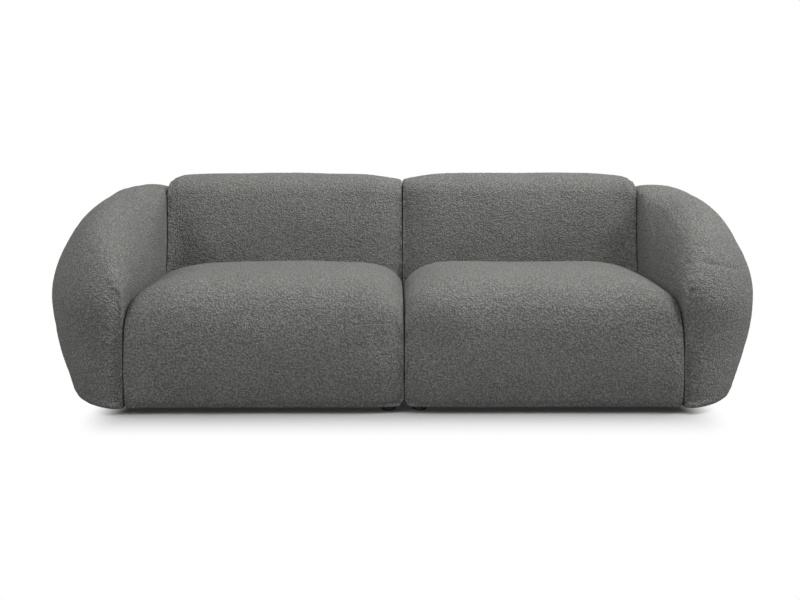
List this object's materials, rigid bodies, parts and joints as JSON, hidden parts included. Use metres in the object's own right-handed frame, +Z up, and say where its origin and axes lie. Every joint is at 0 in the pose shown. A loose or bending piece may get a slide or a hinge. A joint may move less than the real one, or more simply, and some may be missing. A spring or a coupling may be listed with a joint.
{
  "type": "two-seat curved sofa",
  "caption": "Low deep sofa in looped fabric with puffed seats and backs and rounded drum-like arms, in two halves that hook together.",
  "frame": {"origin": "on the floor under the middle of the sofa", "axes": "+X to the sitter's left along the width, +Y to the back, +Z up; the front faces -Y"},
  "size_m": [2.45, 0.98, 0.74],
  "materials": {
    "boucle": "grey looped teddy fabric over fibre wadding, matt",
    "foam": "open-cell upholstery foam, pale yellow",
    "timber": "planed softwood, unfinished",
    "plywood": "birch plywood, unfinished",
    "spring_steel": "oiled spring wire",
    "zinc_steel": "zinc-plated sheet steel",
    "foot_plastic": "black moulded plastic",
    "underside_cloth": "black non-woven cloth"
  },
  "bodies": {
    "left_half": {"seat_cover_left": "boucle", "back_cover_left": "boucle", "arm_cover_left": "boucle", "seat_foam_left": "foam", "back_foam_left": "foam", "arm_foam_left": "foam", "rail_middle_left": "timber", "rail_arm_left": "timber", "rail_front_left": "timber", "rail_cross_left": "timber", "rail_rear_left": "timber", "upright_middle_left": "timber", "upright_arm_left": "timber", "top_rail_left": "timber", "back_panel_left": "plywood", "arm_board_left": "plywood", "arm_rib_front_left": "plywood", "arm_rib_rear_left": "plywood", "seat_spring_1_left": "spring_steel", "seat_spring_2_left": "spring_steel", "seat_spring_3_left": "spring_steel", "seat_spring_4_left": "spring_steel", "spring_strip_front_left": "zinc_steel", "spring_strip_rear_left": "zinc_steel", "foot_middle_front_left": "foot_plastic", "foot_middle_rear_left": "foot_plastic", "foot_arm_front_left": "foot_plastic", "foot_arm_rear_left": "foot_plastic", "underside_cloth_left": "underside_cloth", "hook_pins_left": "zinc_steel"},
    "right_half": {"seat_cover_right": "boucle", "back_cover_right": "boucle", "arm_cover_right": "boucle", "seat_foam_right": "foam", "back_foam_right": "foam", "arm_foam_right": "foam", "rail_middle_right": "timber", "rail_arm_right": "timber", "rail_front_right": "timber", "rail_cross_right": "timber", "rail_rear_right": "timber", "upright_middle_right": "timber", "upright_arm_right": "timber", "top_rail_right": "timber", "back_panel_right": "plywood", "arm_board_right": "plywood", "arm_rib_front_right": "plywood", "arm_rib_rear_right": "plywood", "seat_spring_1_right": "spring_steel", "seat_spring_2_right": "spring_steel", "seat_spring_3_right": "spring_steel", "seat_spring_4_right": "spring_steel", "spring_strip_front_right": "zinc_steel", "spring_strip_rear_right": "zinc_steel", "foot_middle_front_right": "foot_plastic", "foot_middle_rear_right": "foot_plastic", "foot_arm_front_right": "foot_plastic", "foot_arm_rear_right": "foot_plastic", "underside_cloth_right": "underside_cloth", "hook_sockets_right": "zinc_steel"}
  },
  "joints": [
    {"name": "half_lift", "type": "slide", "parent": "left_half", "child": "right_half", "axis": [0, 0, 1], "range_m": [0, 0.06]}
  ]
}
